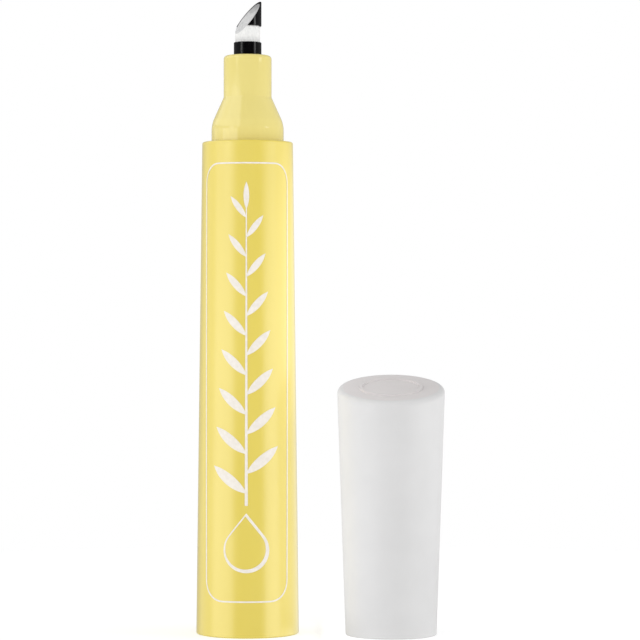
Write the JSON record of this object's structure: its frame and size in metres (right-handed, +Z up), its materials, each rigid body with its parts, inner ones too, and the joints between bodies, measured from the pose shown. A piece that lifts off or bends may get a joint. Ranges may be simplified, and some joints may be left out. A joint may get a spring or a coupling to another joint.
{
  "type": "cuticle remover pen",
  "caption": "Cosmetic marker pen with an obliquely cut felt nib, standing on its foot beside its flared cap, which is off and has a slanted end.",
  "frame": {"origin": "centre of the flat foot that the pen stands on", "axes": "+Z up the pen's axis towards the nib, +X from the pen towards the cap beside it, -Y towards the viewer"},
  "size_m": [0.0408, 0.0194, 0.1042],
  "materials": {
    "barrel_yellow": "satin gloss",
    "nozzle_yellow": "gloss",
    "black_plastic": "gloss",
    "felt": "ground felt",
    "fibre": "bonded fibre",
    "film": "thin film",
    "cap_white": "satin",
    "liner_white": "moulded"
  },
  "bodies": {
    "pen": {"barrel": "barrel_yellow", "tail_plug": "barrel_yellow", "fibre_reservoir": "fibre", "reservoir_wrap": "film", "nozzle": "nozzle_yellow", "nib_collar": "black_plastic", "nib_core": "felt", "pusher_sleeve": "black_plastic"},
    "cap": {"cap_shell": "cap_white", "cap_liner": "liner_white"}
  },
  "joints": [
    {"name": "cap_lift", "type": "slide", "parent": "pen", "child": "cap", "axis": [0, 0, 1], "range_m": [0, 0.11]}
  ]
}
